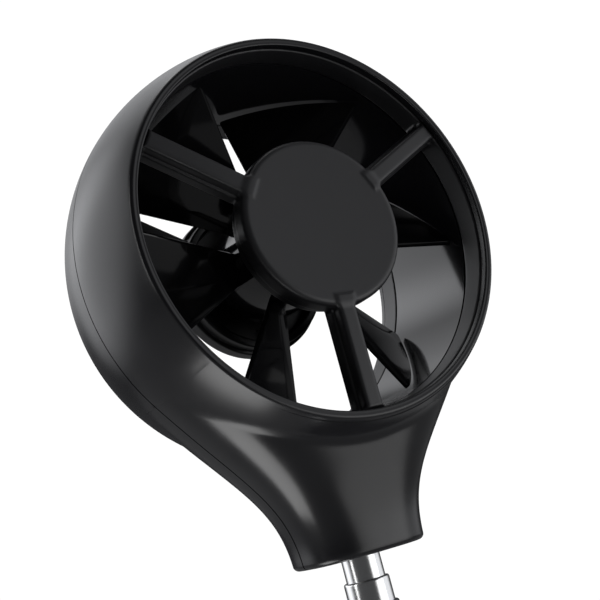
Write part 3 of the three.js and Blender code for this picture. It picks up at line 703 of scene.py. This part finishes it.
def rotor():
    points, faces = [], []
    for i in range(BLADES):
        base = len(points)
        one = blade_points(FIRST_BLADE + i * 2 * math.pi / BLADES)
        n = len(one) // 2
        points.extend(one)
        faces.append([base + k for k in range(n)])
        faces.append([base + n + k for k in reversed(range(n))])
        for k in range(n):
            j = (k + 1) % n
            faces.append((base + k, base + n + k, base + n + j, base + j))
    blades = tidy_mesh(new_object("rotor_vane", points, faces, HEAD_CENTRE))
    bevel = blades.modifiers.new("edges", "BEVEL")
    bevel.width = BLADE_EDGE * MM
    bevel.segments = 2
    bevel.limit_method = "ANGLE"
    bevel.angle_limit = math.radians(50)
    bpy.context.view_layer.update()
    with_modifiers_applied(blades)
    profile = [
        [ROTOR_BORE, -ROTOR_HUB_HALF],
        [ROTOR_HUB, -ROTOR_HUB_HALF, 1.5],
        [ROTOR_HUB, ROTOR_HUB_HALF, 0.2],
        [ROTOR_HUB - ROTOR_HUB_WALL, ROTOR_HUB_HALF, 0.2],
        [ROTOR_HUB - ROTOR_HUB_WALL, ROTOR_HUB_FLOOR - ROTOR_HUB_HALF],
        [ROTOR_BOSS, ROTOR_HUB_FLOOR - ROTOR_HUB_HALF],
        [ROTOR_BOSS, ROTOR_HUB_HALF, 0.2],
        [ROTOR_BORE, ROTOR_HUB_HALF],
    ]
    hub = turned("rotor_hub", profile, "y", 96, HEAD_CENTRE)
    finished(hub, "rotor", "rotor", ROTOR)
    finished(blades, "rotor", "rotor", ROTOR, "rotor")


rotor()


# ---- Screws ----
def screw(name, node, body, x, seat, z):
    """A pan-head screw with a cross slot. Its tip is in the front half, and its head faces the rear."""
    base = seat + CLEARANCE
    top = base + SCREW_HEAD_HEIGHT
    profile = [
        [0, 2 - seat],
        [SCREW_RADIUS, 3 - seat],
        [SCREW_RADIUS, base],
        [SCREW_HEAD_RADIUS, base, 0.15],
        [SCREW_HEAD_RADIUS - 0.1, top - 0.35, 0.4],
        [SCREW_HEAD_RADIUS - 0.8, top],
        [0, top],
    ]
    made = turned(name, profile, "y", 64, (x, 0, z))
    long, narrow = SCREW_SLOT
    for half_x, half_z in ((long, narrow), (narrow, long)):
        low, high = (-half_x, top - SCREW_SLOT_DEPTH, -half_z), (half_x, top + 1, half_z)
        boolean(made, block("slot", low, high, (x, 0, z)), "DIFFERENCE")
    finished(made, body, "steel", STEEL, node)


GRIP_SCREW_X = 8.2
GRIP_SCREW_HEIGHTS = (27, 70)
GRIP_SCREWS = [(x, z) for z in GRIP_SCREW_HEIGHTS for x in (-GRIP_SCREW_X, GRIP_SCREW_X)]
screw("screw_shell_left", "shell_screw_left", "head", -SCREW_X, SCREW_SEAT, AXIS_HEIGHT + SCREW_Z)
screw("screw_shell_right", "shell_screw_right", "head", SCREW_X, SCREW_SEAT, AXIS_HEIGHT + SCREW_Z)
for i, (x, z) in enumerate(GRIP_SCREWS):
    screw(f"screw_grip_{i + 1}", f"grip_screw_{i + 1}", "grip", x, SCREW_SEAT, z)


# ---- Rod ----
ROD_LIP_GAP = 0.1  # between a section and the rolled lip of the next
ROD_LIP_LENGTH = 1.6


def rod():
    bodies = ["section_1", "section_2", "section_3", "grip"]
    for i, (radius, body) in enumerate(zip(ROD_RADII, bodies)):
        low, high = (corner.z for corner in box_mm(f"tube_{i + 1}"))
        bore = radius - ROD_WALL
        inner = bore - ROD_LIP_GAP if i == 0 else ROD_RADII[i - 1] + ROD_LIP_GAP
        profile = [
            [bore, low],
            [radius, low, 0.1],
            [radius, high, 0.42],
            [inner, high, 0.08],
            [inner, high - ROD_LIP_LENGTH],
            [bore, high - ROD_LIP_LENGTH - 0.3],
        ]
        made = turned(f"rod_tube_{i + 1}", profile, "z", 128, steps=6)
        finished(made, body, "chrome", CHROME, f"tube_{i + 1}")


rod()

# ---- Grip ----
half_low, half_high = (corner.z for corner in box_mm("grip_front"))
GRIP_LINE = [
    (GRIP_RADIUS - 0.6, half_low),
    (GRIP_RADIUS, half_low + 18),
    (GRIP_RADIUS + 0.4, half_low + 42),
    (GRIP_RADIUS - 0.8, half_high - 26),
    (GRIP_RADIUS - 1.4, half_high - 12),
    (GRIP_RADIUS - 1, half_high),
]
GRIP_WALL = 2.0


def smooth_line(knots, steps):
    """A curve through the knots, with its slope at each knot set by its neighbours."""
    knots = [2 * np.array(knots[0]) - np.array(knots[1]), *map(np.array, knots)]
    knots.append(2 * knots[-1] - knots[-2])
    points = []
    for i in range(1, len(knots) - 2):
        a, b, c, d = knots[i - 1 : i + 3]
        for step in range(steps):
            t = step / steps
            square = (2 * a - 5 * b + 4 * c - d) * t**2
            cube = (3 * b - a - 3 * c + d) * t**3
            points.append(0.5 * (2 * b + (c - a) * t + square + cube))
    return [*points, knots[-2]]


def grip_half(name, node, side):
    """One half of the grip. side is -1 for the front and 1 for the rear, where the screws go in."""
    outer = smooth_line(GRIP_LINE, 10)
    edge = 0.3
    outer[0], outer[-1] = outer[0] + [0, edge], outer[-1] - [0, edge]
    outer = [outer[0] - [edge, edge], *outer, outer[-1] + [-edge, edge]]
    loop = [*outer, *[[r - GRIP_WALL, z] for r, z in reversed(outer)]]
    columns = 72
    points, index = [], []
    for j in range(columns + 1):
        row = []
        for radius, z in loop:
            first = math.asin(PARTING / radius)
            angle = first + (math.pi - 2 * first) * j / columns
            row.append(len(points))
            points.append([radius * math.cos(angle), side * radius * math.sin(angle), z])
        index.append(row)
    index = np.array(index)
    faces = grid_faces(index.T[list(range(len(loop))) + [0]], closed=False)
    faces += [list(index[0]), list(index[-1][::-1])]
    made = tidy_mesh(new_object(name, points, faces))
    if side > 0:
        for x, z in GRIP_SCREWS:
            post = screw_post((x, 0, z))
            within = GRIP_RADIUS - GRIP_WALL / 2
            inside = [[0, z - 4], [within, z - 4], [within, z + 4], [0, z + 4]]
            boolean(post, turned("inside", inside, "z", 96), "INTERSECT")
            boolean(made, post, "UNION")
            boolean(made, screw_seat((x, 0, z), 14), "DIFFERENCE")
    finished(made, "grip", "grip", GRIP, node)


grip_half("grip_half_front", "grip_front", -1)
grip_half("grip_half_rear", "grip_rear", 1)

COLLAR_HEIGHT = 9
COLLAR_SPIGOT = 8.2
COLLAR_RADIUS = 9.4
CAP_HEIGHT = 12
CAP_FLOOR = 3.4
CAP_SPIGOT = 8.8
CAP_SPIGOT_END = CAP_HEIGHT + 5.4
RECESS_RADIUS = 5.2
RECESS_DEPTH = 1.6
GLAND_HOLE = 3.6
GLAND_BORE = 2.1


def grip_ends():
    """The collar at the grip's top, the cap at its lower end, and the gland in the cap."""
    low, high = (corner.z for corner in box_mm("grip_collar"))
    bore = ROD_RADII[3] + CLEARANCE
    shoulder = high - COLLAR_HEIGHT
    collar = [
        [bore, low],
        [COLLAR_SPIGOT, low],
        [COLLAR_SPIGOT, shoulder],
        [GRIP_RADIUS - 1.2, shoulder, 0.3],
        [GRIP_RADIUS - 1.4, shoulder + 3, 1.2],
        [COLLAR_RADIUS, high - 1.6, 0.6],
        [COLLAR_RADIUS - 1.4, high, 0.5],
        [bore, high, 0.25],
    ]
    finished(turned("collar", collar, "z", 128), "grip", "shell", SHELL, "grip_collar")
    radius = GRIP_RADIUS - 0.6
    cap = [
        [RECESS_RADIUS, 0, 0.3],
        [radius, 0, 1.2],
        [radius, CAP_HEIGHT, 0.3],
        [CAP_SPIGOT, CAP_HEIGHT],
        [CAP_SPIGOT, CAP_SPIGOT_END],
        [CAP_SPIGOT - 1.4, CAP_SPIGOT_END],
        [CAP_SPIGOT - 1.4, CAP_FLOOR],
        [GLAND_HOLE, CAP_FLOOR],
        [GLAND_HOLE, RECESS_DEPTH],
        [RECESS_RADIUS, RECESS_DEPTH],
    ]
    finished(turned("cap", cap, "z", 128), "grip", "shell", SHELL, "end_cap")
    gland = [
        [GLAND_BORE, 0.5, 0.4],
        [RECESS_RADIUS - CLEARANCE, 0.5, 0.3],
        [RECESS_RADIUS - CLEARANCE, RECESS_DEPTH - CLEARANCE],
        [GLAND_HOLE - CLEARANCE, RECESS_DEPTH - CLEARANCE],
        [GLAND_HOLE - CLEARANCE, CAP_FLOOR + CLEARANCE],
        [GLAND_HOLE + 0.8, CAP_FLOOR + CLEARANCE, 0.2],
        [GLAND_HOLE + 0.4, CAP_FLOOR + 2, 0.3],
        [GLAND_BORE, CAP_FLOOR + 2.6, 0.2],
    ]
    finished(turned("gland", gland, "z", 96), "grip", "gland", GLAND, "cord_gland")


grip_ends()

# ---- CAD pieces that keep their own shape ----
for look_of, names in (
    (BRASS, ("front_bearing", "rear_bearing", "rod_ferrule", "rod_tip_plug", "rod_clamp")),
    (BRASS, ("tube_1_plug", "tube_2_plug", "tube_3_plug")),
    (STEEL, ("rotor_shaft",)),
    (MAGNET, ("sensor_magnet",)),
    # the sensor board takes the near black of painted shade, not its own colour
    (BOARD_PAINTED_SHADE, ("sensor_board",)),
    (LEAD, ("sensor_lead", "lead_connector")),
):
    for name in names:
        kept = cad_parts[name]
        kept.data.materials.clear()
        kept.data.materials.append(look_of)


# ---- Studio ----
FLOOR_RADIUS = 1000
FLOOR_DEPTH = 20
FLOOR_GAP = 0.2  # below the grip's end, so that the two faces don't touch


def floor():
    """White to the camera, and darker to reflections."""
    profile = [[0, -FLOOR_DEPTH], [FLOOR_RADIUS, -FLOOR_DEPTH], [FLOOR_RADIUS, 0], [0, 0]]
    made = turned("studio_floor", profile, "z", 128)
    made.data.transform(Matrix.Translation((0, 0, -FLOOR_GAP * MM)))
    surface = bpy.data.materials.new("studio_white")
    surface.use_nodes = True
    shader = surface.node_tree.nodes["Principled BSDF"]
    shader.inputs["Roughness"].default_value = 0.9
    shader.inputs["Emission Color"].default_value = (1, 1, 1, 1)
    nodes, links = surface.node_tree.nodes, surface.node_tree.links
    path = nodes.new("ShaderNodeLightPath")
    for name, reflected, seen in (("Base Color", 0.25, 0.9), ("Emission Strength", 0.06, 0.75)):
        level = nodes.new("ShaderNodeMapRange")
        level.inputs["To Min"].default_value = reflected
        level.inputs["To Max"].default_value = seen
        links.new(path.outputs["Is Camera Ray"], level.inputs["Value"])
        links.new(level.outputs["Result"], shader.inputs[name])
    made.data.materials.append(surface)


def softbox(name, place, width, height, brightness):
    """A rectangular light that faces the head. brightness is what a mirror would show."""
    data = bpy.data.lights.new(name, "AREA")
    data.shape = "RECTANGLE"
    data.size, data.size_y = width, height
    data.energy = brightness * math.pi * width * height
    light = bpy.data.objects.new(name, data)
    light.location = place
    aim = Vector(HEAD_CENTRE) * MM - Vector(place)
    light.rotation_mode = "QUATERNION"
    light.rotation_quaternion = aim.to_track_quat("-Z", "Y")
    light.visible_camera = False
    bpy.context.scene.collection.objects.link(light)


FULL_WIDTH = 0.45  # the share of a patch's width that is at full brightness


def world_towards(nodes, links, direction, width, brightness):
    """A patch of the surroundings that is bright towards a direction and fades away from it."""
    place = nodes.new("ShaderNodeTexCoord")
    along = nodes.new("ShaderNodeVectorMath")
    along.operation = "DOT_PRODUCT"
    along.inputs[1].default_value = Vector(direction).normalized()
    links.new(place.outputs["Generated"], along.inputs[0])
    fade = nodes.new("ShaderNodeMapRange")
    fade.interpolation_type = "SMOOTHSTEP"
    fade.inputs["From Min"].default_value = math.cos(math.radians(width))
    fade.inputs["From Max"].default_value = math.cos(math.radians(width * FULL_WIDTH))
    fade.inputs["To Max"].default_value = brightness
    links.new(along.outputs["Value"], fade.inputs["Value"])
    return fade.outputs["Result"]


# Where the surroundings are bright: a direction, how wide in degrees, and how bright.
# Each patch is at its full brightness over the inner part of its width, and fades outside that.
SURROUNDINGS = (
    ((-0.62, 0.75, 0.34), 36, 1.35),
    ((0.0, 0.8, 0.68), 34, 0.6),
    ((0.85, -0.45, -0.05), 48, 0.85),
    ((0.1, 0.1, 1.0), 50, 0.35),
)
DARKEST = 0.05  # the room's own brightness, outside the patches
CAMERA_WHITE = 1.05


def surroundings():
    """White to the camera. To reflections, a dark room with a few soft bright patches."""
    world = bpy.data.worlds.new("studio")
    bpy.context.scene.world = world
    world.use_nodes = True
    nodes, links = world.node_tree.nodes, world.node_tree.links
    seen = nodes["Background"]
    seen.inputs["Color"].default_value = (1, 1, 1, 1)
    seen.inputs["Strength"].default_value = CAMERA_WHITE
    lit = nodes.new("ShaderNodeBackground")
    lit.inputs["Color"].default_value = (0.96, 0.97, 1, 1)
    total = None
    for direction, width, brightness in SURROUNDINGS:
        patch = world_towards(nodes, links, direction, width, brightness)
        both = nodes.new("ShaderNodeMath")
        both.operation = "ADD"
        both.inputs[1].default_value = DARKEST
        links.new(patch, both.inputs[0])
        if total:
            links.new(total, both.inputs[1])
        total = both.outputs["Value"]
    links.new(total, lit.inputs["Strength"])
    path = nodes.new("ShaderNodeLightPath")
    mix = nodes.new("ShaderNodeMixShader")
    links.new(path.outputs["Is Camera Ray"], mix.inputs["Fac"])
    links.new(lit.outputs["Background"], mix.inputs[1])
    links.new(seen.outputs["Background"], mix.inputs[2])
    links.new(mix.outputs["Shader"], nodes["World Output"].inputs["Surface"])


def studio():
    floor()
    softbox("left_softbox", (-0.60, 0.02, 0.42), 0.12, 0.50, 2.6)
    softbox("low_left_softbox", (-0.13, 0.01, 0.035), 0.14, 0.14, 3.9)
    softbox("front_right_softbox", (0.20, -0.30, 0.10), 0.30, 0.26, 1.15)
    softbox("top_softbox", (0.05, 0.05, 0.80), 0.40, 0.30, 1.6)
    surroundings()
    bpy.context.scene.view_settings.view_transform = "Standard"


# The camera's place in millimetres, and the directions that its picture's right and top point in.
CAMERA_PLACE = (-83.35, -138.2, 194.3)
CAMERA_RIGHT = (0.8528, -0.4568, -0.2532)
CAMERA_UP = (0.1091, -0.3184, 0.9417)
CAMERA_LENS = 58.19


def camera():
    data = bpy.data.cameras.new("camera")
    data.sensor_width = 36
    data.lens = CAMERA_LENS
    made = bpy.data.objects.new("camera", data)
    right, up = Vector(CAMERA_RIGHT), Vector(CAMERA_UP)
    back = right.cross(up)
    turn = Matrix((right, up, back)).transposed().to_4x4()
    made.matrix_world = Matrix.Translation(Vector(CAMERA_PLACE) * MM) @ turn
    data.clip_start, data.clip_end = 0.01, 20
    bpy.context.scene.collection.objects.link(made)
    bpy.context.scene.camera = made


studio()
camera()
